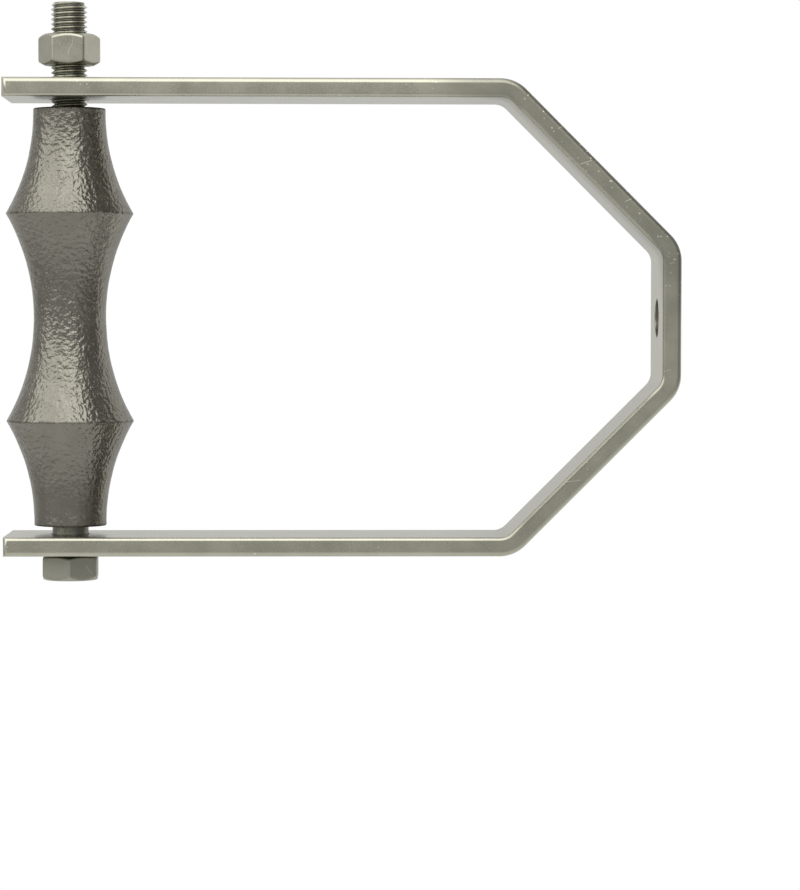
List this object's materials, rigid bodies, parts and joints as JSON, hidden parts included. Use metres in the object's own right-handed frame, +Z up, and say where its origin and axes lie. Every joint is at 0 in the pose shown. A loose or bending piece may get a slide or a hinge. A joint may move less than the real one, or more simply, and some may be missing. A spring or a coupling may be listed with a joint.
{
  "type": "roller loop hanger",
  "caption": "Pipe hanger: a flat steel bar bent to an open loop, with a waisted cast roller turning on a hex bolt across its legs and a rod hole in its web.",
  "frame": {"origin": "middle of the rod hole at the web's upper face", "axes": "+Z up along the hanger rod; X along the roller's axle, +X towards the bolt's head; Y along the pipe, -Y is the side that the picture shows"},
  "size_m": [0.3035, 0.067, 0.3535],
  "materials": {
    "bar_steel": "satin zinc plate",
    "cast_iron": "as cast, dark coated",
    "bolt_steel": "satin zinc plate",
    "nut_steel": "satin zinc plate"
  },
  "bodies": {
    "hanger": {"yoke": "bar_steel"},
    "axle": {"axle_bolt": "bolt_steel"},
    "roller": {"roller": "cast_iron"},
    "nut": {"axle_nut": "nut_steel"}
  },
  "joints": [
    {"name": "bolt_turn", "type": "hinge", "parent": "hanger", "child": "axle", "pos_m": [0, 0, -0.32], "axis": [-1, 0, 0], "range_deg": [-2310, 1110]},
    {"name": "roller_spin", "type": "hinge", "parent": "axle", "child": "roller", "pos_m": [0, 0, -0.32], "axis": [1, 0, 0], "continuous": true},
    {"name": "nut_travel", "type": "slide", "parent": "hanger", "child": "nut", "axis": [1, 0, 0], "range_m": [-0.0163, 0.00785]}
  ],
  "couplings": [
    {"joint": "nut_travel", "follows": "bolt_turn", "m_per_rad": 0.00040425}
  ]
}
